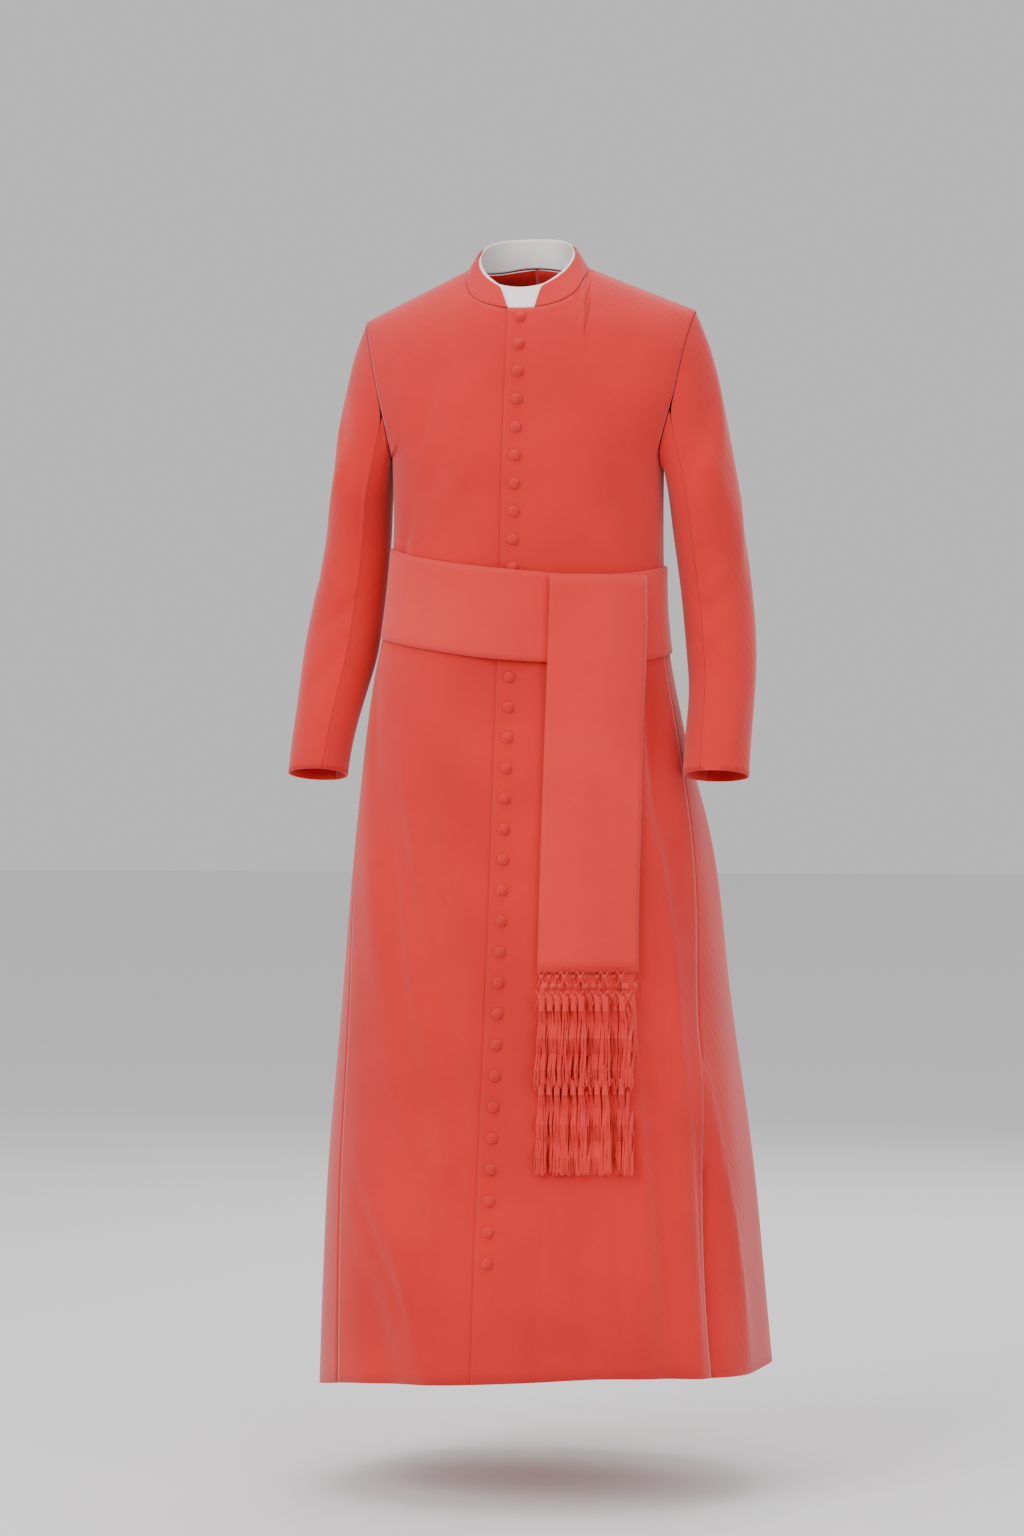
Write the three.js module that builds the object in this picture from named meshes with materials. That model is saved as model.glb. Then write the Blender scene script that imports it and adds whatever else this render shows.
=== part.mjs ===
// A full-length cassock as it is worn: two buttoned fronts, a two-piece back, two-piece sleeves, a
// standing collar with its white insert, and a sash with two fringed tails.
// Millimetres, +Z up. The front faces -Y and the wearer's left is +X. The origin is the middle of
// the neck opening, level with the two side neck points.
import * as THREE from "three";

const CLOTH = 2; // thickness of the wool cloth
const SEAM = 0.3; // gap left between two pieces that are sewn together
const LAP_DEPTH = 0.6; // gap between the two fronts where one lies over the other
const SQUARENESS = 2.3; // 2 makes the body's sections ellipses, more makes them squarer
const UNDERARM = -252; // height of the bottom of the armholes
const SHOULDER_ROLL = 70; // radius of the turn over the shoulder
const NECK_HALF = 80; // from the middle of the neck opening to a side neck point
const SHOULDER_HALF = 219; // from the middle to a shoulder tip
const SHOULDER_DROP = { right: 66, left: 58 }; // fall of the shoulder seam to its tip
const TURN = 90; // degrees from the middle of the front to a side

// Horizontal sections of the body: the middle's shift to the wearer's left, half the width, and
// how far the front and the back stand from the middle.
const BODY = [
  { z: -1450, middle: 22, half: 292, front: 252, back: 264 },
  { z: -1320, middle: 18, half: 284, front: 242, back: 252 },
  { z: -1158, middle: 14, half: 273, front: 222, back: 231 },
  { z: -950, middle: 8.5, half: 250, front: 190, back: 200 },
  { z: -794, middle: 6, half: 236, front: 165, back: 175 },
  { z: -612, middle: -2, half: 209.5, front: 139, back: 147 },
  { z: -511, middle: -5, half: 192, front: 128, back: 130 },
  { z: -480, middle: -3, half: 184.5, front: 124, back: 123 },
  { z: -430, middle: -1, half: 179, front: 120, back: 116 },
  { z: -352, middle: 2.5, half: 176.5, front: 118, back: 112 },
  { z: -252, middle: 1, half: 178, front: 121, back: 116 },
  { z: -215, middle: 4, half: 196, front: 119, back: 117 },
  { z: -165, middle: 6, half: 216, front: 113, back: 115 },
  { z: -110, middle: 5, half: 224, front: 98, back: 108 },
  { z: -53, middle: 3, half: 230, front: 74, back: 96 },
  { z: 0, middle: 1, half: 230, front: 42, back: 86 },
  { z: 40, middle: 0, half: 230, front: 30, back: 80 },
];

// The hem's height round the skirt, by degrees from the front towards the wearer's left.
const HEM = [
  { turn: -180, z: -1436 },
  { turn: -90, z: -1447 },
  { turn: -45, z: -1424 },
  { turn: -7, z: -1413 },
  { turn: 20, z: -1404 },
  { turn: 60, z: -1413 },
  { turn: 90, z: -1416 },
  { turn: 180, z: -1436 },
];

// The line of the buttons down the front, and what the two fronts measure from it.
const BUTTON_LINE = [
  { z: -1450, x: -17 },
  { z: -1265, x: -15 },
  { z: -1119, x: -12 },
  { z: -913, x: -8 },
  { z: -705, x: -6 },
  { z: -511, x: -3 },
  { z: -382, x: -1 },
  { z: -252, x: 2 },
  { z: -165, x: 4 },
  { z: -53, x: 3 },
];
const LAP = 16.5; // from the button line to the edge of the left front, which lies on top
const UNDERLAP = 20; // from the button line to the hidden edge of the right front
const LAP_STEP = 11; // width over which the right front comes up from under the left

// The side seam, by degrees from the front, moves forward towards the hem.
const SIDE_SEAM = [
  { z: -1450, turn: 53 },
  { z: -1158, turn: 57 },
  { z: -950, turn: 62 },
  { z: -794, turn: 69 },
  { z: -666, turn: 75 },
  { z: -400, turn: 81 },
  { z: -300, turn: 87 },
  { z: -252, turn: 90 },
];

// The armhole's front edge, by degrees from the middle of the front. The back edge mirrors it.
const ARMHOLE = [
  { z: -252, turn: 90 },
  { z: -244, turn: 73 },
  { z: -215, turn: 65.5 },
  { z: -165, turn: 61.5 },
  { z: -110, turn: 64 },
  { z: -50, turn: 71 },
];

// The neckline on one side, by degrees round the neck from the front.
const NECKLINE = [
  { round: 0, out: 0, z: -58.5 },
  { round: 25, out: 29, z: -57 },
  { round: 50, out: 56, z: -48.5 },
  { round: 70, out: 73, z: -33 },
  { round: 80, out: 78, z: -15 },
  { round: 90, out: 80, z: 0 },
  { round: 100, out: 78.5, z: -0.6 },
  { round: 118, out: 69, z: -1.5 },
  { round: 140, out: 48, z: -1 },
  { round: 160, out: 25, z: 4 },
  { round: 180, out: 0, z: 8 },
];

// The upper edge of the standing collar.
const COLLAR = {
  thickness: 2.6,
  notch: 15, // degrees from the front to each end of the band at its seam
  notchTop: 24, // the same at the upper edge
  rise: 1.3, // the band starts this far above the neckline
  half: 65, // half the width at the upper edge
  front: 62,
  back: 60,
  stops: [15, 20, 36, 52, 66, 78, 90, 100, 118, 140, 160],
};
const COLLAR_TOP = [
  { round: 0, z: -33 },
  { round: 24, z: -28 },
  { round: 60, z: -5 },
  { round: 90, z: 22 },
  { round: 130, z: 36 },
  { round: 180, z: 42 },
];
const COLLAR_HEIGHT = 30; // of the band's slope, on average
const INSERT = { thickness: 1.2, clearance: 1.2, low: 0.06, above: 5 };

// Sections of each sleeve from below the armhole to the cuff: the middle, half the width and half
// the depth. The forearms come forward.
const SLEEVE_RIGHT = [
  { z: -300, x: -221.5, half: 41.5, y: 10, deep: 66 },
  { z: -350, x: -225.5, half: 43.5, y: 13, deep: 62 },
  { z: -405, x: -234, half: 47, y: 15, deep: 59 },
  { z: -455, x: -242, half: 49, y: 13, deep: 58 },
  { z: -500, x: -248, half: 50, y: 4, deep: 56 },
  { z: -550, x: -256.5, half: 45, y: -8, deep: 52 },
  { z: -610, x: -265.5, half: 40.5, y: -28, deep: 48 },
  { z: -656, x: -268.5, half: 39.5, y: -44, deep: 47 },
];
const SLEEVE_LEFT = [
  { z: -300, x: 231.5, half: 48, y: 10, deep: 66 },
  { z: -350, x: 237.5, half: 48.5, y: 13, deep: 62 },
  { z: -405, x: 244, half: 47.5, y: 15, deep: 59 },
  { z: -455, x: 249.5, half: 47.5, y: 13, deep: 58 },
  { z: -500, x: 253.5, half: 46.5, y: 2, deep: 56 },
  { z: -550, x: 256, half: 43.5, y: -15, deep: 52 },
  { z: -610, x: 253.5, half: 43.5, y: -42, deep: 48 },
  { z: -658, x: 253, half: 43.5, y: -63, deep: 46 },
];
const SLEEVE = {
  clearance: 0.5, // gap to the body along the armhole
  underarm: 1.6, // more of it at the underarm
  capRows: 5, // rows of the grid over the sleeve head
  armRows: 12, // rows from there to the cuff
  columns: 16, // columns all round, seams on two of them
  frontSeam: 5, // columns from the top of the armhole to the front seam
  backSeam: 11, // and to the back seam
  head: 9, // how far the sleeve head stands out over the shoulder tip
  seamGap: 0.012, // half a seam's gap, in columns
  cuffTilt: 0.17, // rise of the cuff's front edge for its depth
};

// The sash round the waist: heights of its two edges, by degrees from the front.
const SASH = [
  { turn: -180, top: -374, bottom: -488 },
  { turn: -90, top: -361, bottom: -478 },
  { turn: -32, top: -383, bottom: -497 },
  { turn: 0, top: -396, bottom: -512 },
  { turn: 25, top: -403, bottom: -515 },
  { turn: 55, top: -398, bottom: -512 },
  { turn: 90, top: -387.5, bottom: -500.5 },
  { turn: 180, top: -374, bottom: -488 },
];
const SASH_EASE = 3.3; // gap between the sash and the body
const BUTTON_EASE = 5.5; // more of it over the buttons
const BUTTON_SPREAD = 34; // half the width of that swelling

// The two tails hang from the sash, one over the other, each with its fringe. The heights are of
// the ends of cloth and fringe, the lifts are from the skirt's surface to the piece's back.
const TAIL_EDGES = [
  { z: -1160, inner: 38, outer: 178 },
  { z: -1047, inner: 40, outer: 171 },
  { z: -905, inner: 41, outer: 162 },
  { z: -700, inner: 42, outer: 161 },
  { z: -400, inner: 47, outer: 156 },
];
const FRINGE = 4.6; // thickness of a fringe
const TAIL_LIFT = [
  { z: -1160, back: 1.6, front: 7.2 },
  { z: -1000, back: 2, front: 7.2 },
  { z: -700, back: 2, front: 5.2 },
  { z: -560, back: 3.6, front: 6.8 },
  { z: -515, back: 7.2, front: 10.6 },
  { z: -400, back: 7.2, front: 10.6 },
];
const TAILS = {
  front: { top: -402, end: -905, fringe: -1047, inset: 0, rows: 8 },
  back: { top: -406, end: -1008, fringe: -1155, inset: 3, rows: 9 },
};

// The largest folds of the skirt and chest: each runs from one height and turn to another, and is
// a ridge where its depth is above zero and a trough where it is below.
const FOLDS = [
  { top: -640, bottom: -1010, from: -47, to: -12, depth: -7, width: 7 },
  { top: -700, bottom: -1090, from: -60, to: -22, depth: 7, width: 7 },
  { top: -940, bottom: -1200, from: -42, to: -10, depth: -8, width: 6 },
  { top: -1090, bottom: -1460, from: -54, to: -10, depth: 11, width: 7 },
  { top: -1180, bottom: -1500, from: -44, to: -26, depth: -8, width: 5 },
  { top: -540, bottom: -900, from: 63, to: 52, depth: -10, width: 6 },
  { top: -720, bottom: -1500, from: 54, to: 46, depth: 8, width: 4.5 },
  { top: -1000, bottom: -1500, from: 63, to: 68, depth: 12, width: 5 },
  { top: -1050, bottom: -1500, from: 56, to: 57, depth: -8, width: 4 },
  { top: -1180, bottom: -1520, from: 27, to: 29, depth: 7, width: 6 },
  { top: -1200, bottom: -1520, from: 38, to: 39, depth: -5, width: 5 },
  { top: -620, bottom: -1520, from: 103, to: 101, depth: 13, width: 8 },
  { top: -700, bottom: -1520, from: 122, to: 120, depth: -14, width: 7 },
  { top: -560, bottom: -1520, from: 142, to: 139, depth: 15, width: 8 },
  { top: -560, bottom: -1520, from: 161, to: 160, depth: -15, width: 7 },
  { top: -540, bottom: -1520, from: 180, to: 179, depth: 14, width: 8 },
  { top: -560, bottom: -1520, from: -161, to: -162, depth: -16, width: 7 },
  { top: -590, bottom: -1520, from: -142, to: -140, depth: 14, width: 8 },
  { top: -680, bottom: -1520, from: -122, to: -119, depth: -13, width: 8 },
  { top: -640, bottom: -1520, from: -102, to: -98, depth: 10, width: 8 },
  { top: -215, bottom: -350, from: -38, to: -56, depth: 3.5, width: 6 },
  { top: -215, bottom: -360, from: 38, to: 62, depth: 3.5, width: 6 },
];
const FOLD_FADE = 110; // height over which a fold comes in and goes out

// Buttons: covered domes down the left front.
const BUTTON = { radius: 7, height: 6.4, rim: 3, segments: 8, lift: 0.5 };
const BUTTON_RUNS = [
  { first: -71, pitch: 35.8, count: 10 }, // above the sash and at its edge
  { first: -428.5, pitch: 34.5, count: 3 }, // under the sash
  { first: -532.5, pitch: 38.5, count: 20 }, // down the skirt
];

// Grids of the body panels.
const SKIRT_ROWS = 18;
const CHEST_ROWS = 8;
const FRONT_NECK = [36, 52, 66, 78, 90]; // stops round the neckline, in degrees
const BACK_NECK = [180, 160, 140, 118, 100, 90];
const SHOULDER_COLUMNS = { front: 6, back: 6 };
const LEVEL_NECK = 0.86; // degrees round the neckline for each millimetre near its front

const WOOL = { color: 0xcf2020, roughness: 0.82, metalness: 0 };
const SASH_CLOTH = { color: 0xd92623, roughness: 0.7, metalness: 0 };
const LINEN = { color: 0xf2f0ee, roughness: 0.45, metalness: 0 };

const radians = THREE.MathUtils.degToRad;
const lerp = THREE.MathUtils.lerp;

// A smooth curve through one column of a table, held level past both ends.
function curve(rows, along, column) {
  const x = rows.map((row) => row[along]);
  const y = rows.map((row) => row[column]);
  const last = x.length - 1;
  const slope = x.map((_, i) => {
    const before = Math.max(i - 1, 0);
    const after = Math.min(i + 1, last);
    return (y[after] - y[before]) / (x[after] - x[before]);
  });
  return (at) => {
    if (at <= x[0]) return y[0];
    if (at >= x[last]) return y[last];
    const i = x.findIndex((stop) => stop > at) - 1;
    const span = x[i + 1] - x[i];
    const t = (at - x[i]) / span;
    const t2 = t * t;
    const t3 = t2 * t;
    const held = y[i] * (2 * t3 - 3 * t2 + 1) + y[i + 1] * (3 * t2 - 2 * t3);
    return held + span * (slope[i] * (t3 - 2 * t2 + t) + slope[i + 1] * (t3 - t2));
  };
}

const body = {
  middle: curve(BODY, "z", "middle"),
  half: curve(BODY, "z", "half"),
  front: curve(BODY, "z", "front"),
  back: curve(BODY, "z", "back"),
};
const hemAt = curve(HEM, "turn", "z");
const buttonLine = curve(BUTTON_LINE, "z", "x");
const sideSeam = curve(SIDE_SEAM, "z", "turn");
const armholeTurn = curve(ARMHOLE, "z", "turn");
const neckline = { out: curve(NECKLINE, "round", "out"), z: curve(NECKLINE, "round", "z") };
const collarTop = curve(COLLAR_TOP, "round", "z");
const sashEdge = { top: curve(SASH, "turn", "top"), bottom: curve(SASH, "turn", "bottom") };

// Raises the size of a number to a power and keeps its sign.
const signedPower = (value, power) => Math.sign(value) * Math.abs(value) ** power;

// Brings any turn into the half circle to each side of the front.
const wrapped = (turn) => turn - 360 * Math.round(turn / 360);

// A soft step from 0 to 1.
const smooth = (value) => THREE.MathUtils.smoothstep(value, 0, 1);

// Height of the shoulder line at a share of the body's half width.
function shoulderHeight(share) {
  const drop = share > 0 ? SHOULDER_DROP.left : SHOULDER_DROP.right;
  const out = Math.abs(share) * body.half(0);
  return (-drop * (out - NECK_HALF)) / (SHOULDER_HALF - NECK_HALF);
}

// How far the cloth has dropped and reached forward after a run from the shoulder line.
function overShoulder(run) {
  const quarter = (SHOULDER_ROLL * Math.PI) / 2;
  const turn = Math.min(-run / SHOULDER_ROLL, Math.PI / 2);
  const beyond = Math.max(0, -run - quarter);
  return { drop: SHOULDER_ROLL * (1 - Math.cos(turn)) + beyond, reach: Math.sin(turn) };
}

// The run from the shoulder line that reaches a height at a turn, the reverse of the last one.
function runAt(turn, z) {
  const share = signedPower(Math.sin(radians(turn)), 2 / SQUARENESS);
  const drop = Math.max(0, shoulderHeight(share) - z);
  if (drop < SHOULDER_ROLL) return -SHOULDER_ROLL * Math.acos(1 - drop / SHOULDER_ROLL);
  return -(drop - SHOULDER_ROLL + (SHOULDER_ROLL * Math.PI) / 2);
}

// The turn at which the front's section passes a distance to the side.
function turnAt(x, z) {
  const share = (x - body.middle(z)) / body.half(z);
  const sine = THREE.MathUtils.clamp(signedPower(share, SQUARENESS / 2), -1, 1);
  return THREE.MathUtils.radToDeg(Math.asin(sine));
}

// How far the folds move the cloth out at a turn and height.
function foldOut(turn, z) {
  let out = 0;
  for (const fold of FOLDS) {
    const along = THREE.MathUtils.clamp((fold.top - z) / (fold.top - fold.bottom), 0, 1);
    const ends = smooth((fold.top - z) / FOLD_FADE) * smooth((z - fold.bottom) / FOLD_FADE);
    const aside = wrapped(turn - lerp(fold.from, fold.to, along)) / fold.width;
    out += fold.depth * ends * Math.exp(-aside * aside);
  }
  return out;
}

// The body's outer surface at a turn from the front and a run from the shoulder line.
function bodyPoint(turn, run, folded = true) {
  const angle = radians(turn);
  const side = signedPower(Math.sin(angle), 2 / SQUARENESS);
  const ahead = signedPower(Math.cos(angle), 2 / SQUARENESS);
  const { drop, reach } = overShoulder(run);
  const z = shoulderHeight(side) - drop;
  const depth = ahead > 0 ? body.front(z) : body.back(z);
  const out = folded ? foldOut(wrapped(turn), z) : 0;
  return new THREE.Vector3(
    body.middle(z) + body.half(z) * side + out * Math.sin(angle),
    -depth * ahead * reach - out * Math.cos(angle),
    z,
  );
}
// A surface that walls are laid on: its point at u and v, the steps that its normals are taken
// over, and 1 or -1 for the way that they face.
class Surface {
  constructor(point, stepU, stepV, facing = 1) {
    this.point = point;
    this.stepU = stepU;
    this.stepV = stepV;
    this.facing = facing;
  }

  normal(u, v) {
    const across = this.point(u + this.stepU, v).sub(this.point(u - this.stepU, v));
    const up = this.point(u, v + this.stepV).sub(this.point(u, v - this.stepV));
    return across.cross(up).normalize().multiplyScalar(this.facing);
  }
}

const TURN_STEP = 0.5;
const RUN_STEP = 2;
const clothBody = new Surface(bodyPoint, TURN_STEP, RUN_STEP);

// A closed mesh of a wall over a grid of places on a surface. Each place holds u and v, and low
// and high are the wall's two faces, measured out from the surface. A ring's last column joins
// its first.
function wall(surface, places, { low = () => -CLOTH, high = () => 0, ring = false } = {}) {
  const rows = places.length;
  const columns = places[0].length;
  const positions = [];
  for (const face of [high, low]) {
    for (const { u, v, lift = 0 } of places.flat()) {
      const point = surface.point(u, v).addScaledVector(surface.normal(u, v), face(u, v) + lift);
      positions.push(...point);
    }
  }
  const triangles = [];
  const addQuad = (a, b, c, d) => triangles.push(a, b, c, a, c, d);
  const outer = (i, j) => i * columns + (j % columns);
  const inner = (i, j) => rows * columns + outer(i, j);
  const spans = ring ? columns : columns - 1;
  const top = rows - 1;
  for (let i = 0; i < top; i++) {
    for (let j = 0; j < spans; j++) {
      addQuad(outer(i, j), outer(i, j + 1), outer(i + 1, j + 1), outer(i + 1, j));
      addQuad(inner(i, j), inner(i + 1, j), inner(i + 1, j + 1), inner(i, j + 1));
    }
  }
  for (let j = 0; j < spans; j++) {
    addQuad(outer(0, j), inner(0, j), inner(0, j + 1), outer(0, j + 1));
    addQuad(outer(top, j + 1), inner(top, j + 1), inner(top, j), outer(top, j));
  }
  if (!ring) {
    for (let i = 0; i < top; i++) {
      addQuad(outer(i + 1, 0), inner(i + 1, 0), inner(i, 0), outer(i, 0));
      addQuad(outer(i, spans), inner(i, spans), inner(i + 1, spans), outer(i + 1, spans));
    }
  }
  if (surface.facing < 0) triangles.reverse();
  const geometry = new THREE.BufferGeometry();
  geometry.setAttribute("position", new THREE.Float32BufferAttribute(positions, 3));
  geometry.setIndex(triangles);
  geometry.computeVertexNormals();
  return geometry;
}

const garment = new THREE.Group();
garment.name = "cassock";

function addPiece(name, geometry, finish) {
  const piece = new THREE.Mesh(geometry, new THREE.MeshStandardMaterial(finish));
  piece.name = name;
  garment.add(piece);
  return piece;
}

const tipHeight = (side) => -(side > 0 ? SHOULDER_DROP.left : SHOULDER_DROP.right);

// One place on an armhole's edge, by rows up from the underarm, with the rows closest together at
// both ends. Side is 1 for the wearer's left and -1 for the right.
function armholePlace(side, face, row) {
  const share = (1 - Math.cos((Math.PI * row) / CHEST_ROWS)) / 2;
  const z = lerp(UNDERARM, tipHeight(side), share);
  const turn = side * armholeTurn(z);
  const u = face === "front" ? turn : side * 180 - turn;
  return { u, v: share === 1 ? 0 : runAt(u, z) };
}

// A place on the neckline, by degrees round the neck from the front on one side.
function neckPlace(side, round) {
  const z = neckline.z(round);
  const turn = turnAt(body.middle(z) + side * neckline.out(round), z);
  const u = round <= TURN ? turn : side * 180 - turn;
  return { u, v: round === TURN ? 0 : runAt(u, z) };
}

// Places along a shoulder seam from the neck to the tip, without the first.
function shoulderPlaces(side, face) {
  const columns = SHOULDER_COLUMNS[face];
  const neck = neckPlace(side, TURN).u;
  const tip = armholePlace(side, "front", CHEST_ROWS).u;
  return Array.from({ length: columns }, (_, j) => {
    const turn = lerp(neck, tip, (j + 1) / columns);
    return { u: face === "front" ? turn : side * 180 - turn, v: 0 };
  });
}

// Fills the grid above the underarm row, up to the row along the neck and shoulder. The places
// inside are blended from the patch's four edges, and near and far give the two side edges.
function chestRows(bottom, top, near, far) {
  const last = top.length - 1;
  const rows = [];
  for (let row = 1; row <= CHEST_ROWS; row++) {
    const up = row / CHEST_ROWS;
    const blend = (j, key) => {
      const across = j / last;
      const start = lerp(bottom[0][key], top[0][key], up);
      const end = lerp(bottom[last][key], top[last][key], up);
      const edges = lerp(near(row)[key], far(row)[key], across) - lerp(start, end, across);
      return lerp(bottom[j][key], top[j][key], up) + edges;
    };
    rows.push(top.map((_, j) => ({ u: blend(j, "u"), v: blend(j, "v") })));
  }
  return rows;
}

// Draws the last column of a half panel back from its seam, and its top row down from the
// shoulder's, by half a seam's gap each.
function trimmed(rows, side) {
  for (const row of rows) {
    const place = row.at(-1);
    const gap = THREE.MathUtils.radToDeg(SEAM / 2 / body.half(UNDERARM));
    place.u -= gap * side;
  }
  for (const place of rows.at(-1)) place.v = Math.min(place.v, -SEAM / 2);
  return rows;
}

// A front's grid. Its strip is the columns beside the opening, at set distances from the button
// line, and the rest fan out from there to the side seam, the armhole and the shoulder.
function frontPlaces(side, strip) {
  const columns = FRONT_NECK.length + SHOULDER_COLUMNS.front;
  const hemZ = HEM[0].z;
  const stripPlace = ({ offset, lift }, z) => {
    const u = turnAt(buttonLine(z) + offset, z);
    return { u, v: runAt(u, z), lift };
  };
  const innerEdge = strip.at(-1);
  const rows = [];
  for (let row = 0; row <= SKIRT_ROWS; row++) {
    const height = row / SKIRT_ROWS;
    const start = strip.map((line) => {
      const hem = hemAt(stripPlace(line, hemZ).u);
      return stripPlace(line, lerp(hem, UNDERARM, height));
    });
    for (let j = 1; j <= columns; j++) {
      const share = j / columns;
      const hem = hemAt(lerp(stripPlace(innerEdge, hemZ).u, side * sideSeam(hemZ), share));
      const z = lerp(hem, UNDERARM, height);
      const u = lerp(stripPlace(innerEdge, z).u, side * sideSeam(z), share);
      start.push({ u, v: runAt(u, z) });
    }
    rows.push(start);
  }
  const stripUp = (line, row) => {
    const neck = neckline.z(Math.abs(line.offset) * LEVEL_NECK);
    return stripPlace(line, lerp(UNDERARM, neck, row / CHEST_ROWS));
  };
  const bottom = rows.at(-1).slice(strip.length - 1);
  const neck = FRONT_NECK.map((round) => neckPlace(side, round));
  const top = [stripUp(innerEdge, CHEST_ROWS), ...neck, ...shoulderPlaces(side, "front")];
  const near = (row) => stripUp(innerEdge, row);
  const far = (row) => armholePlace(side, "front", row);
  chestRows(bottom, top, near, far).forEach((fan, i) => {
    rows.push([...strip.map((line) => stripUp(line, i + 1)), ...fan.slice(1)]);
  });
  return trimmed(rows, side);
}

// The two fronts. The left one lies over the right one, whose strip is set back under it. Gives
// the places down the left front's button line.
function makeFronts() {
  const under = -CLOTH - LAP_DEPTH;
  const left = frontPlaces(1, [
    { offset: -LAP, lift: 0 },
    { offset: 0, lift: 0 },
    { offset: UNDERLAP, lift: 0 },
  ]);
  const right = frontPlaces(-1, [
    { offset: UNDERLAP, lift: under },
    { offset: 0, lift: under },
    { offset: -LAP, lift: under },
    { offset: -LAP - LAP_STEP, lift: 0 },
  ]);
  addPiece("front_left", wall(clothBody, left), WOOL);
  addPiece("front_right", wall(clothBody, right.map((row) => row.reverse())), WOOL);
  return left.map((row) => row[1]);
}

// Half of the back, from its middle to one side seam, armhole and shoulder.
function backHalf(side) {
  const columns = BACK_NECK.length - 1 + SHOULDER_COLUMNS.back;
  const middle = side * 180;
  const rows = [];
  for (let row = 0; row <= SKIRT_ROWS; row++) {
    const places = [];
    for (let j = 0; j <= columns; j++) {
      const share = j / columns;
      const hem = hemAt(lerp(middle, side * sideSeam(HEM[0].z), share));
      const z = lerp(hem, UNDERARM, row / SKIRT_ROWS);
      const u = lerp(middle, side * sideSeam(z), share);
      places.push({ u, v: runAt(u, z) });
    }
    rows.push(places);
  }
  const neck = BACK_NECK.map((round) => neckPlace(side, round));
  neck.at(-1).u = middle - neck.at(-1).u;
  const top = [...neck, ...shoulderPlaces(side, "back")];
  const near = (row) => {
    const z = lerp(UNDERARM, neckline.z(180), row / CHEST_ROWS);
    return { u: middle, v: runAt(middle, z) };
  };
  const far = (row) => armholePlace(side, "back", row);
  const chest = chestRows(rows.at(-1), top, near, far);
  return trimmed([...rows, ...chest], -side);
}

// The two halves of the back, sewn together down the middle.
function makeBacks() {
  for (const [name, side] of [["left", 1], ["right", -1]]) {
    const rows = backHalf(side);
    const gap = THREE.MathUtils.radToDeg(SEAM / 2 / body.half(UNDERARM));
    for (const row of rows) row[0].u -= gap * side;
    const places = side > 0 ? rows.map((row) => row.reverse()) : rows;
    addPiece(`back_${name}`, wall(clothBody, places), WOOL);
  }
}

// A sleeve: u runs in columns from the arm's outer side to the front, the body and the back, and v
// in rows down from the armhole, over the sleeve head, to the cuff.
class SleeveSurface extends Surface {
  constructor(side, sections) {
    super((u, v) => this.at(u, v), 0.05, 0.05, side);
    const rising = [...sections].reverse();
    this.side = side;
    this.path = {};
    for (const column of ["x", "half", "y", "deep"]) {
      this.path[column] = curve(rising, "z", column);
    }
    this.top = sections[0].z;
    this.bottom = rising[0].z;
  }

  // The armhole's edge, moved just clear of the body.
  edge(u) {
    const half = SLEEVE.columns / 2;
    const face = u <= half ? "front" : "back";
    const place = armholePlace(this.side, face, Math.abs(half - u));
    const point = bodyPoint(place.u, place.v, false);
    const low = (1 + Math.cos((2 * Math.PI * (half - u)) / SLEEVE.columns)) / 2;
    point.x += this.side * (SLEEVE.clearance + SLEEVE.underarm * low ** 3);
    return point;
  }

  section(u, z) {
    const angle = (2 * Math.PI * u) / SLEEVE.columns;
    const tilt = smooth((this.top - z) / (this.top - this.bottom)) * SLEEVE.cuffTilt;
    const ahead = this.path.deep(z) * Math.sin(angle);
    return new THREE.Vector3(
      this.path.x(z) + this.side * this.path.half(z) * Math.cos(angle),
      this.path.y(z) - ahead,
      z + ahead * tilt,
    );
  }

  at(u, v) {
    const around = THREE.MathUtils.euclideanModulo(u, SLEEVE.columns);
    if (v >= SLEEVE.capRows) {
      const share = (v - SLEEVE.capRows) / SLEEVE.armRows;
      return this.section(around, lerp(this.top, this.bottom, share));
    }
    const share = Math.max(v, 0) / SLEEVE.capRows;
    const point = this.edge(around).lerp(this.section(around, this.top), share);
    const outside = Math.max(0, Math.cos((2 * Math.PI * around) / SLEEVE.columns));
    point.x += this.side * SLEEVE.head * outside * Math.sin(Math.PI * Math.sqrt(share));
    return point;
  }

  // Along the armhole the wall faces away from the armhole's middle.
  normal(u, v) {
    if (v > 0) return super.normal(u, v);
    const middle = (UNDERARM + tipHeight(this.side)) / 2;
    const point = this.at(u, 0);
    return new THREE.Vector3(0, point.y, point.z - middle).normalize();
  }
}

function makeSleeves() {
  const rows = SLEEVE.capRows + SLEEVE.armRows;
  const gap = SLEEVE.seamGap;
  const grid = (from, to) =>
    Array.from({ length: rows + 1 }, (_, v) =>
      Array.from({ length: to - from + 1 }, (_, j) => {
        const inward = j === 0 ? gap : 0;
        const outward = j === to - from ? gap : 0;
        return { u: from + j + inward - outward, v };
      }),
    );
  const upper = [SLEEVE.backSeam - SLEEVE.columns, SLEEVE.frontSeam];
  const under = [SLEEVE.frontSeam, SLEEVE.backSeam];
  const arms = [
    { name: "left", side: 1, sections: SLEEVE_LEFT },
    { name: "right", side: -1, sections: SLEEVE_RIGHT },
  ];
  for (const { name, side, sections } of arms) {
    const surface = new SleeveSurface(side, sections);
    addPiece(`sleeve_${name}_upper`, wall(surface, grid(...upper)), WOOL);
    addPiece(`sleeve_${name}_under`, wall(surface, grid(...under)), WOOL);
  }
}

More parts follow.
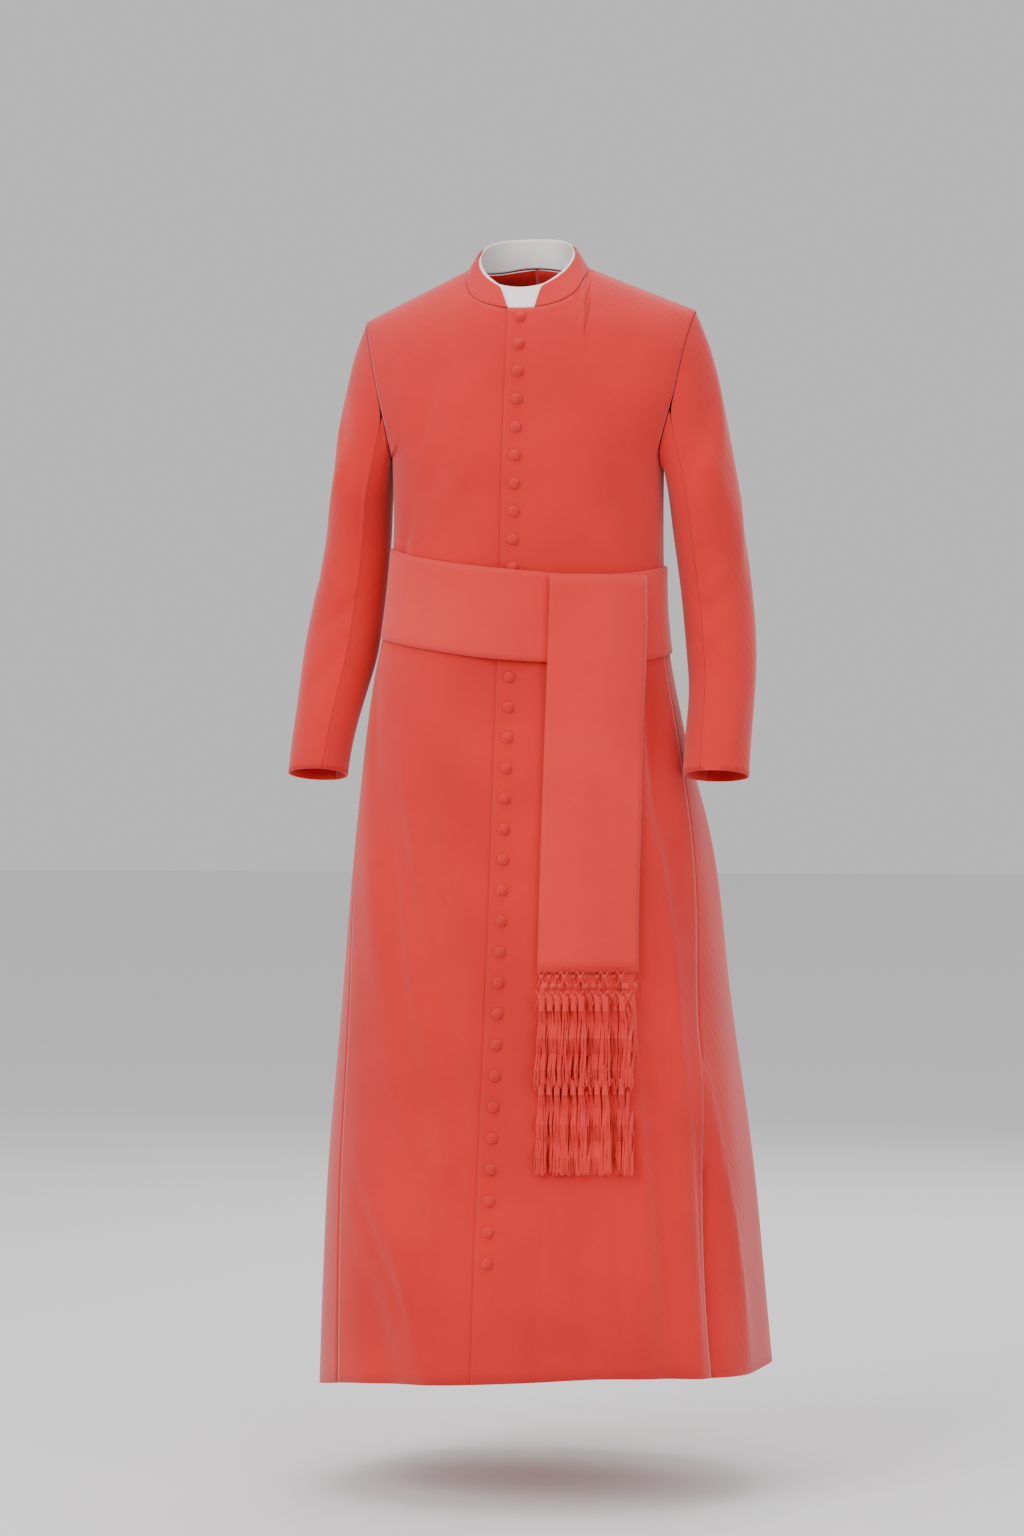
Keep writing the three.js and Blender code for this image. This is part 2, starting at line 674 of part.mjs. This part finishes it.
// The cone that the collar stands on: u is degrees round the neckline, from the front to the
// wearer's left and on round, and v is 0 at the neckline and 1 at the band's upper edge.
function collarPoint(u, v) {
  const around = THREE.MathUtils.euclideanModulo(u, 360);
  const side = around < 180 ? 1 : -1;
  const low = side > 0 ? around : 360 - around;
  const { notch, notchTop } = COLLAR;
  const high =
    low < notch ? (low * notchTop) / notch : lerp(notchTop, 180, (low - notch) / (180 - notch));
  const place = neckPlace(side, low);
  const foot = bodyPoint(place.u, place.v, false);
  foot.z += COLLAR.rise;
  const angle = radians(high);
  const depth = high < TURN ? COLLAR.front : COLLAR.back;
  const x = side * COLLAR.half * Math.sin(angle);
  return foot.lerp(new THREE.Vector3(x, -depth * Math.cos(angle), collarTop(high)), v);
}

// The band runs round the neck from one side of the front notch to the other, and the white
// insert inside it is a whole ring.
function makeCollar() {
  const surface = new Surface(collarPoint, 2, 0.05);
  const { stops, thickness } = COLLAR;
  const back = [...stops].reverse().map((stop) => 360 - stop);
  const grid = (columns, heights) => heights.map((v) => columns.map((u) => ({ u, v })));
  const band = grid([...stops, 180, ...back], [0, 0.5, 1]);
  addPiece("collar_band", wall(surface, band, { low: () => -thickness }), WOOL);
  const insertTop = 1 + INSERT.above / COLLAR_HEIGHT;
  const insert = grid([0, ...stops, 180, ...back], [INSERT.low, 0.5, insertTop]);
  const outside = -thickness - INSERT.clearance;
  const faces = { low: () => outside - INSERT.thickness, high: () => outside, ring: true };
  addPiece("collar_insert", wall(surface, insert, faces), LINEN);
}

// How far the sash's back stands from the body, more over the buttons.
function sashEase(turn, z) {
  const place = bodyPoint(turn, runAt(turn, z), false);
  const aside = (place.x - buttonLine(z)) / BUTTON_SPREAD;
  const ahead = place.y < 0 ? 1 : 0;
  return SASH_EASE + ahead * BUTTON_EASE * Math.exp(-aside * aside);
}

function makeSash() {
  const heightAt = (turn, share) => {
    const around = wrapped(turn);
    return lerp(sashEdge.bottom(around), sashEdge.top(around), share);
  };
  const surface = new Surface(
    (turn, share) => bodyPoint(turn, runAt(turn, heightAt(turn, share)), false),
    TURN_STEP,
    0.05,
  );
  const columns = 34;
  const places = [0, 0.5, 1].map((v) =>
    Array.from({ length: columns }, (_, j) => ({ u: (360 * j) / columns, v })),
  );
  const low = (turn, share) => sashEase(turn, heightAt(turn, share));
  const high = (turn, share) => low(turn, share) + CLOTH;
  addPiece("sash_band", wall(surface, places, { low, high, ring: true }), SASH_CLOTH);
}

// The two tails and their fringes hang over the skirt, moved out from its surface.
function makeTails() {
  const edges = {
    inner: curve(TAIL_EDGES, "z", "inner"),
    outer: curve(TAIL_EDGES, "z", "outer"),
  };
  for (const [name, tail] of Object.entries(TAILS)) {
    const lift = curve(TAIL_LIFT, "z", name);
    const surface = new Surface(
      (share, z) => {
        const x = lerp(edges.inner(z) + tail.inset, edges.outer(z) - tail.inset, share);
        const turn = turnAt(x, z);
        return bodyPoint(turn, runAt(turn, z), false);
      },
      0.02,
      RUN_STEP,
    );
    const hang = (from, to, rows) =>
      Array.from({ length: rows + 1 }, (_, i) =>
        [0, 0.2, 0.4, 0.6, 0.8, 1].map((u) => ({ u, v: lerp(from, to, i / rows) })),
      );
    const low = (_, z) => lift(z);
    const cloth = { low, high: (_, z) => lift(z) + CLOTH };
    const threads = { low, high: (_, z) => lift(z) + FRINGE };
    const { top, end, fringe } = tail;
    addPiece(`sash_tail_${name}`, wall(surface, hang(end, top, tail.rows), cloth), SASH_CLOTH);
    addPiece(`fringe_${name}`, wall(surface, hang(fringe, end - SEAM, 3), threads), SASH_CLOTH);
  }
}

// A covered button: a low dome over a short straight rim, turned about Y.
function buttonGeometry() {
  const { radius, height, rim, segments } = BUTTON;
  const shoulder = new THREE.Vector2(radius * 0.72, lerp(rim, height, 0.72));
  const profile = [
    new THREE.Vector2(0, 0),
    new THREE.Vector2(radius, 0),
    new THREE.Vector2(radius, rim),
    shoulder,
    new THREE.Vector2(0, height),
  ];
  return new THREE.LatheGeometry(profile, segments);
}

// Buttons down the left front, each standing on the cloth at its place on the button line.
function makeButtons(line) {
  const upright = new THREE.Vector3(0, 1, 0);
  const heightOf = (place) => clothBody.point(place.u, place.v).z;
  let number = 0;
  for (const { first, pitch, count } of BUTTON_RUNS) {
    for (let i = 0; i < count; i++) {
      const z = first - i * pitch;
      const above = line.findIndex((place) => heightOf(place) >= z);
      const [start, end] = [line[above - 1], line[above]];
      const share = (z - heightOf(start)) / (heightOf(end) - heightOf(start));
      const normal = clothBody.normal(lerp(start.u, end.u, share), lerp(start.v, end.v, share));
      const from = clothBody.point(start.u, start.v);
      const to = clothBody.point(end.u, end.v);
      number += 1;
      const name = `button_${String(number).padStart(2, "0")}`;
      const button = addPiece(name, buttonGeometry(), WOOL);
      button.position.copy(from.lerp(to, share).addScaledVector(normal, BUTTON.lift));
      button.quaternion.setFromUnitVectors(upright, normal);
    }
  }
}

const buttonStand = makeFronts();
makeBacks();
makeSleeves();
makeCollar();
makeSash();
makeTails();
makeButtons(buttonStand);

export default garment;
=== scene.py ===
"""A red buttoned cassock with its sash, worn and hollow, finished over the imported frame."""
import logging
import math
import random
from dataclasses import dataclass, field
from enum import Enum

import bmesh
import bpy
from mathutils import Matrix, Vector


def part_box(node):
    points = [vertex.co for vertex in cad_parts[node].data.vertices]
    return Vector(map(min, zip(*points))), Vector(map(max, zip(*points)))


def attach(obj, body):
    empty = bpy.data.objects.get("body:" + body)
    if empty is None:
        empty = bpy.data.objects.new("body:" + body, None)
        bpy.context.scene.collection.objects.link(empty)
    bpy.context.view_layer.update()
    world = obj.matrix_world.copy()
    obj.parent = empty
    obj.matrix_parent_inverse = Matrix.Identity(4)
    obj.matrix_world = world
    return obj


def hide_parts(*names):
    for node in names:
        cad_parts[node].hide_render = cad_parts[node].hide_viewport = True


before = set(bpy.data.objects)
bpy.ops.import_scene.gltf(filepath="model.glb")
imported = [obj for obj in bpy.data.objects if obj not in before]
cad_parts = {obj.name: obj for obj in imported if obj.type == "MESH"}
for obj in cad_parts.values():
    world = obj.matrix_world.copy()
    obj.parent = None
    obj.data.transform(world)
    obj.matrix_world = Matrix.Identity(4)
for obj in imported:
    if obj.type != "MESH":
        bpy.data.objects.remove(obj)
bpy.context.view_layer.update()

LOG = logging.getLogger("cassock")
FLOOR_Z = -1.575
MM = 0.001


class Slot(Enum):
    """The record's material slots."""

    WOOL = "wool"
    SASH = "sash_cloth"
    LINEN = "linen"


def linear(code: str) -> tuple[float, float, float, float]:
    """Turn an sRGB hex colour to linear.

    Args:
        code: six hex digits.

    Returns:
        The linear colour with full alpha.
    """
    parts = [int(code[i:i + 2], 16) / 255 for i in (0, 2, 4)]
    lit = [c / 12.92 if c <= 0.04045 else ((c + 0.055) / 1.055) ** 2.4 for c in parts]
    return (lit[0], lit[1], lit[2], 1.0)


def add_node(tree: bpy.types.NodeTree, kind: str, settings: dict, links: dict) -> bpy.types.Node:
    """Add a shader node with its settings and links.

    Args:
        tree: the material's node tree.
        kind: the node's type name.
        settings: values by attribute or input name.
        links: output sockets by input name.

    Returns:
        The new node.
    """
    node = tree.nodes.new(kind)
    for name, value in settings.items():
        if name in node.inputs:
            node.inputs[name].default_value = value
        else:
            setattr(node, name, value)
    for name, socket in links.items():
        tree.links.new(socket, node.inputs[name])
    return node


@dataclass(frozen=True)
class Finish:
    """A woven cloth: its two thread colours, thread spacing and sheen."""

    name: str
    lit: str
    shade: str
    thread_mm: float
    bump: float
    roughness: float
    sheen: float

    def material(self) -> bpy.types.Material:
        """Build the cloth's material, with a fine weave and slow colour variation."""
        made = bpy.data.materials.new(self.name)
        made.use_nodes = True
        tree = made.node_tree
        tree.nodes.clear()
        place = add_node(tree, "ShaderNodeTexCoord", {}, {}).outputs["Object"]
        pitch = 1 / (self.thread_mm * MM)
        warp = add_node(tree, "ShaderNodeTexWave", {
            "wave_type": "BANDS", "bands_direction": "DIAGONAL",
            "Scale": pitch / 20, "Distortion": 1.5, "Detail": 2.0,
        }, {"Vector": place})
        slub = add_node(tree, "ShaderNodeTexNoise", {"Scale": pitch / 6, "Detail": 4.0},
                        {"Vector": place})
        cloud = add_node(tree, "ShaderNodeTexNoise", {"Scale": 7.0, "Detail": 3.0},
                         {"Vector": place})
        weave = add_node(tree, "ShaderNodeMath", {"operation": "ADD"}, {})
        tree.links.new(warp.outputs["Fac"], weave.inputs[0])
        tree.links.new(slub.outputs["Fac"], weave.inputs[1])
        tone = add_node(tree, "ShaderNodeMapRange",
                        {"From Min": 0.3, "From Max": 0.7}, {"Value": cloud.outputs["Fac"]})
        colour = add_node(tree, "ShaderNodeMix", {"data_type": "RGBA"},
                          {"Factor": tone.outputs["Result"]})
        colour.inputs[6].default_value = linear(self.shade)
        colour.inputs[7].default_value = linear(self.lit)
        relief = add_node(tree, "ShaderNodeBump", {"Strength": self.bump, "Distance": 0.0004},
                          {"Height": weave.outputs["Value"]})
        shader = add_node(tree, "ShaderNodeBsdfPrincipled", {
            "Roughness": self.roughness, "Sheen Weight": self.sheen, "Sheen Roughness": 0.5,
            "Specular IOR Level": 0.25,
        }, {"Base Color": colour.outputs[2], "Normal": relief.outputs["Normal"]})
        add_node(tree, "ShaderNodeOutputMaterial", {}, {"Surface": shader.outputs["BSDF"]})
        return made


# Worsted wool: fine diagonal twill, matte with a faint bloom at the edges.
WORSTED = Finish("worsted wool", "D41E1C", "C41717", 1.6, 0.35, 0.8, 0.25)
# Ribbed faille: a smoother, lighter face than the wool.
FAILLE = Finish("ribbed faille", "DE2622", "D01E1B", 1.2, 0.3, 0.66, 0.3)
# Silk fringe thread: brighter, with a soft gloss.
SILK = Finish("twisted silk thread", "E62A22", "D21C18", 0.9, 0.3, 0.5, 0.35)
# Starched linen: near white and smooth.
STARCHED = Finish("starched linen", "F5F3F0", "EFEDEA", 0.9, 0.08, 0.45, 0.0)


@dataclass(frozen=True)
class Crease:
    """A soft ridge or trough that runs from one turn and height to another."""

    top: float
    bottom: float
    start: float
    end: float
    depth: float
    width: float

    def out(self, turn: float, z: float) -> float:
        """Give how far it moves the cloth out, in metres, at a turn and height in mm."""
        span = self.top - self.bottom
        along = (self.top - z) / span
        if not 0 < along < 1:
            return 0.0
        aside = (turn - self.start - (self.end - self.start) * along + 180) % 360 - 180
        return self.depth * MM * math.sin(math.pi * along) ** 0.8 * math.exp(
            -(aside / self.width) ** 2)


# Top and bottom heights in mm, turns in degrees from the front, depth in mm, width in degrees.
BODY_CREASES = [Crease(*row) for row in (
    (-560, -980, -58, -26, 4.5, 3.2), (-600, -1040, -66, -34, -4.5, 3.5),
    (-660, -960, -38, -9, 3.8, 2.8), (-760, -1130, -50, -18, 4.2, 2.6),
    (-860, -1150, -33, -9, -3.6, 2.4), (-980, -1260, -48, -16, 4.6, 2.8),
    (-1060, -1290, -30, -9, 3.6, 2.2), (-1140, -1400, -56, -20, -5.0, 3.0),
    (-1220, -1440, -34, -20, 4.2, 2.6), (-520, -760, -75, -60, -3.6, 3.4),
    (-520, -760, 66, 60, -5.5, 3.4), (-700, -1080, 60, 55, 4.8, 2.2),
    (-840, -1400, 47, 46, -4.5, 2.4), (-900, -1410, 42, 41, 3.6, 1.9),
    (-980, -1430, 64, 73, 6.0, 2.3), (-1060, -1430, 60, 57, -5.5, 2.0),
    (-1120, -1410, 18, 21, 3.6, 2.4), (-1180, -1410, 11, 9, -3.0, 2.0),
    (-1180, -1420, 33, 34, -3.6, 2.0), (-520, -700, 30, 28, 2.4, 2.6),
    (-255, -385, -28, -60, 3.6, 3.4), (-235, -360, -40, -66, -3.2, 3.2),
    (-270, -395, -50, -64, 2.8, 2.4), (-240, -380, 32, 66, 3.4, 3.4),
    (-260, -390, 50, 70, -3.2, 3.0), (-130, -260, 48, 58, -2.4, 4.0),
    (-130, -260, -46, -56, -2.4, 4.0), (-330, -392, -62, -70, -3.2, 2.6),
    (-540, -1400, 112, 111, 4.5, 3.0), (-600, -1420, 131, 130, -5.0, 2.6),
    (-520, -1380, 151, 149, 4.6, 2.8), (-620, -1420, 171, 169, -4.6, 2.6),
    (-560, -1400, -171, -170, 4.4, 2.6), (-640, -1420, -150, -152, -5.0, 2.8),
    (-560, -1390, -131, -130, 4.6, 3.0), (-620, -1410, -110, -108, -4.4, 2.8),
    (-160, -330, 150, 128, 3.2, 5.0), (-160, -340, -150, -126, 3.0, 5.0),
    (-300, -392, 165, 140, -3.0, 4.5), (-300, -392, -168, -142, -3.0, 4.5),
)]
# On the sleeves the turn runs from the outer side to the front; the rows slant across the arm.
SLEEVE_CREASES = [Crease(*row) for row in (
    (-130, -330, 25, 85, 3.6, 17), (-160, -370, 60, 130, -3.6, 16),
    (-200, -330, 100, 40, 3.0, 14), (-380, -450, 40, 110, 3.4, 20),
    (-410, -480, 130, 50, -3.6, 18), (-440, -520, 60, 120, 3.0, 16),
    (-470, -560, 110, 40, -2.6, 16), (-540, -640, 30, 70, 2.4, 16),
    (-180, -400, 215, 260, 3.4, 18), (-360, -470, 300, 235, -3.4, 18),
    (-430, -540, 230, 290, 3.0, 17), (-300, -420, -20, 10, -2.4, 16),
)]


def select_only(piece: bpy.types.Object) -> None:
    """Deselect everything else and make the piece active."""
    bpy.ops.object.select_all(action="DESELECT")
    piece.select_set(True)
    bpy.context.view_layer.objects.active = piece


def apply_all(piece: bpy.types.Object) -> None:
    """Apply every modifier on the piece."""
    select_only(piece)
    for name in [modifier.name for modifier in piece.modifiers]:
        bpy.ops.object.modifier_apply(modifier=name)


def smooth_shell(node: str, name: str, levels: int) -> bpy.types.Object:
    """Make a fine shell on a node's form, with its cut edges kept crisp.

    Args:
        node: the CAD node that gives the form.
        name: the new piece's name.
        levels: subdivision levels.

    Returns:
        The new object.
    """
    source = bpy.data.objects[node]
    piece = bpy.data.objects.new(name, source.data.copy())
    bpy.context.scene.collection.objects.link(piece)
    piece.hide_render = False
    select_only(piece)
    bpy.ops.object.mode_set(mode="EDIT")
    bpy.ops.mesh.select_all(action="SELECT")
    bpy.ops.mesh.remove_doubles(threshold=2e-6)
    bpy.ops.mesh.tris_convert_to_quads(face_threshold=math.radians(50),
                                       shape_threshold=math.radians(50))
    bpy.ops.object.mode_set(mode="OBJECT")
    edit = bmesh.new()
    edit.from_mesh(piece.data)
    crease = edit.edges.layers.float.get("crease_edge") or edit.edges.layers.float.new("crease_edge")
    for edge in edit.edges:
        if len(edge.link_faces) == 2 and edge.calc_face_angle() > math.radians(55):
            edge[crease] = 1.0
    edit.to_mesh(piece.data)
    edit.free()
    fine = piece.modifiers.new("fine", "SUBSURF")
    fine.levels = levels
    fine.render_levels = levels
    apply_all(piece)
    bpy.ops.object.shade_smooth_by_angle(angle=math.radians(50))
    return piece


def finish_piece(piece: bpy.types.Object, look: bpy.types.Material, slot: Slot,
                 *nodes: str) -> None:
    """Dress a piece, fasten it to the body and let it stand for its nodes.

    Args:
        piece: the finished object.
        look: its material.
        slot: the record's material slot; not used.
        nodes: the CAD nodes that it replaces.
    """
    piece.data.materials.clear()
    piece.data.materials.append(look)
    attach(piece, "root")
    if nodes:
        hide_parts(*nodes)
    LOG.info("%s: %d faces", piece.name, len(piece.data.polygons))


@dataclass
class Robe:
    """The fronts, back, sleeves and collar."""

    panels: dict[str, tuple[float, float, float]] = field(default_factory=lambda: {
        "front_left": (0.46, 1.42, 0.39), "front_right": (0.46, 1.43, 0.36),
        "back_left": (0.55, 1.46, 0.55), "back_right": (0.55, 1.47, 0.56),
    })
    sleeves: dict[str, tuple[float, float, float]] = field(default_factory=lambda: {
        "sleeve_left_upper": (0.26, 0.62, 0.108), "sleeve_left_under": (0.15, 0.50, 0.053),
        "sleeve_right_upper": (0.26, 0.62, 0.106), "sleeve_right_under": (0.15, 0.50, 0.052),
    })

    def crease_body(self, piece: bpy.types.Object) -> None:
        """Press the body's creases into a panel, both faces together."""
        for vertex in piece.data.vertices:
            place = vertex.co
            turn = math.degrees(math.atan2(place.x - 0.005, -place.y))
            z = place.z / MM
            out = sum(crease.out(turn, z) for crease in BODY_CREASES)
            vertex.co += Vector((math.sin(math.radians(turn)), -math.cos(math.radians(turn)), 0)) * out

    def crease_sleeve(self, piece: bpy.types.Object, side: int) -> None:
        """Press the arm's creases into a sleeve piece.

        Args:
            piece: the sleeve piece.
            side: 1 for the wearer's left, -1 for the right.
        """
        for vertex in piece.data.vertices:
            place = vertex.co
            z = place.z / MM
            share = min(1.0, max(0.0, (-z - 250) / 400))
            middle = Vector((side * (0.222 + 0.03 * share), 0.012 - 0.06 * share * share, 0))
            away = Vector((place.x, place.y, 0)) - middle
            turn = math.degrees(math.atan2(-away.y, side * away.x))
            seam = min(1.0, max(0.0, (-z - 90) / 120))
            out = sum(crease.out(turn, z) for crease in SLEEVE_CREASES) * seam
            inner = 0.25 if away.x * side < -0.02 and z > -520 else 1.0
            vertex.co += away.normalized() * out * inner

    def build(self, wool: bpy.types.Material, linen: bpy.types.Material) -> None:
        """Make the panels, sleeves, collar and insert.

        Args:
            wool: the cloth of the robe.
            linen: the insert's cloth.
        """
        for node, (width, length, area) in self.panels.items():
            piece = smooth_shell(node, node + "_cloth", 2)
            self.crease_body(piece)
            finish_piece(piece, wool, Slot.WOOL, node)
        for node, (width, length, area) in self.sleeves.items():
            piece = smooth_shell(node, node + "_cloth", 2)
            self.crease_sleeve(piece, 1 if "left" in node else -1)
            finish_piece(piece, wool, Slot.WOOL, node)
        band = smooth_shell("collar_band", "collar_band_cloth", 3)
        finish_piece(band, wool, Slot.WOOL, "collar_band")
        insert = smooth_shell("collar_insert", "collar_insert_cloth", 3)
        finish_piece(insert, linen, Slot.LINEN, "collar_insert")


@dataclass
class Buttons:
    """The covered buttons down the front."""

    count: int = 33

    def build(self, wool: bpy.types.Material) -> None:
        """Make a round dome over each button's solid."""
        for number in range(1, self.count + 1):
            node = f"button_{number:02d}"
            piece = smooth_shell(node, node + "_dome", 2)
            finish_piece(piece, wool, Slot.WOOL, node)


@dataclass
class Fringe:
    """A knotted heading with tassels of thread below it."""

    node: str
    tassels: int = 12
    threads: int = 16
    heading: float = 0.040
    thread: float = 0.0009
    seed: int = 4

    def build(self, silk: bpy.types.Material) -> bpy.types.Object:
        """Make the fringe as one joined mesh inside its solid's reach.

        Args:
            silk: the thread's material.

        Returns:
            The joined mesh.
        """
        low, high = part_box(self.node)
        source = bpy.data.objects[self.node]
        rows = [vertex.co.copy() for vertex in source.data.vertices]
        draw = random.Random(self.seed)
        edit = bmesh.new()

        def surface(x: float, z: float) -> Vector:
            near = sorted(rows, key=lambda p: (p.x - x) ** 2 + (p.z - z) ** 2)[:4]
            return Vector((x, sum(p.y for p in near) / 4, z))

        def tube(points: list[Vector], radius: float, sides: int = 4) -> None:
            rings = []
            for point in points:
                rings.append([edit.verts.new(point + Vector((
                    radius * math.cos(2 * math.pi * k / sides),
                    radius * math.sin(2 * math.pi * k / sides), 0))) for k in range(sides)])
            for a, b in zip(rings, rings[1:]):
                for k in range(sides):
                    edit.faces.new((a[k], b[k], b[(k + 1) % sides], a[(k + 1) % sides]))
            edit.faces.new(rings[0])
            edit.faces.new(rings[-1][::-1])

        top, bottom = high[2], low[2]
        left, right = low[0] + 0.004, high[0] - 0.014
        pitch = (right - left) / self.tassels
        for index in range(self.tassels):
            x = left + pitch * (index + 0.5)
            head = surface(x, top - self.heading)
            for row in range(3):
                knot = surface(x + pitch * 0.5 * (row % 2) - pitch * 0.25,
                               top - 0.006 - row * 0.012)
                bmesh.ops.create_uvsphere(edit, u_segments=8, v_segments=6, radius=(
                    0.0045 if row == 1 else 0.0026))
                for vertex in edit.verts[-42:]:
                    vertex.co += knot
                for lean in (-0.5, 0.5):
                    end = knot + Vector((lean * pitch, 0, -0.012))
                    tube([knot + Vector((lean * pitch, 0, 0.007)), knot, end], 0.0012)
            tube([head + Vector((0, 0, 0.010)), head, head - Vector((0, 0, 0.008))], 0.0036, 8)
            sway = draw.uniform(-0.002, 0.004)
            for _ in range(self.threads):
                spread = draw.uniform(-1, 1)
                start = head + Vector((spread * 0.0028, draw.uniform(-0.002, 0.002), -0.004))
                length = start.z - bottom - draw.uniform(0, 0.006)
                points = []
                for step in range(6):
                    share = step / 5
                    point = surface(start.x, start.z - length * share)
                    bend = (spread * 0.0045 + sway) * share ** 0.7 + draw.uniform(-0.0006, 0.0006)
                    points.append(Vector((start.x + bend, point.y + draw.uniform(-0.0015, 0.0015),
                                          point.z)))
                tube(points, self.thread)
        mesh = bpy.data.meshes.new(self.node + "_threads")
        bmesh.ops.recalc_face_normals(edit, faces=edit.faces)
        edit.to_mesh(mesh)
        edit.free()
        piece = bpy.data.objects.new(self.node + "_threads", mesh)
        bpy.context.scene.collection.objects.link(piece)
        finish_piece(piece, silk, Slot.SASH, self.node)
        return piece


@dataclass
class Sash:
    """The waist band with its two tails and fringes."""

    def build(self, faille: bpy.types.Material, silk: bpy.types.Material) -> None:
        """Make the band, the tails and their fringes."""
        band = smooth_shell("sash_band", "sash_band_cloth", 3)
        finish_piece(band, faille, Slot.SASH, "sash_band")
        for side, length, seed in (("front", 0.51, 4), ("back", 0.61, 9)):
            tail = smooth_shell(f"sash_tail_{side}", f"sash_tail_{side}_cloth", 2)
            finish_piece(tail, faille, Slot.SASH, f"sash_tail_{side}")
            threads = Fringe(f"fringe_{side}", seed=seed).build(silk)


@dataclass
class Studio:
    """A plain pale floor, soft light and the camera."""

    azimuth: float = 9.0
    distance: float = 5.2
    eye: float = -0.648
    aside: float = -0.020
    lens: float = 93.75

    def build(self) -> None:
        """Set up the floor, the lights, the world and the camera."""
        bpy.ops.object.select_all(action="DESELECT")
        bpy.ops.mesh.primitive_plane_add(size=60, location=(0, 0, FLOOR_Z))
        floor = bpy.context.object
        floor.name = "floor"
        pale = bpy.data.materials.new("matte studio paper")
        pale.use_nodes = True
        shader = pale.node_tree.nodes["Principled BSDF"]
        shader.inputs["Base Color"].default_value = linear("F0F0F0")
        shader.inputs["Roughness"].default_value = 0.9
        floor.data.materials.append(pale)
        for name, place, size, power in (
            ("key", (-2.2, -3.2, 1.6), 2.6, 120), ("fill", (3.0, -3.0, 0.4), 3.0, 55),
            ("top", (0.0, -0.4, 2.4), 3.0, 55), ("rear", (0.5, 3.4, 1.4), 3.0, 60),
        ):
            data = bpy.data.lights.new(name, "AREA")
            data.energy = power
            data.size = size
            light = bpy.data.objects.new(name, data)
            light.location = place
            aim = Vector((0, 0, -0.7)) - Vector(place)
            light.rotation_euler = aim.to_track_quat("-Z", "Y").to_euler()
            bpy.context.scene.collection.objects.link(light)
        world = bpy.data.worlds.new("studio")
        world.use_nodes = True
        world.node_tree.nodes["Background"].inputs["Color"].default_value = linear("F2F2F2")
        world.node_tree.nodes["Background"].inputs["Strength"].default_value = 0.75
        bpy.context.scene.world = world
        turn = math.radians(self.azimuth)
        data = bpy.data.cameras.new("camera")
        data.lens = self.lens
        data.clip_end = 100
        camera = bpy.data.objects.new("camera", data)
        right = Vector((math.cos(turn), math.sin(turn), 0))
        back = Vector((math.sin(turn), -math.cos(turn), 0))
        camera.location = right * self.aside + back * self.distance + Vector((0, 0, self.eye))
        camera.rotation_euler = (math.pi / 2, 0, turn)
        bpy.context.scene.collection.objects.link(camera)
        bpy.context.scene.camera = camera


def main() -> None:
    """Build the cassock's pieces in order, then the studio."""
    logging.basicConfig(level=logging.INFO)
    wool = WORSTED.material()
    faille = FAILLE.material()
    silk = SILK.material()
    Robe().build(wool, STARCHED.material())
    Buttons().build(wool)
    Sash().build(faille, silk)
    Studio().build()


if __name__ == "__main__":
    main()
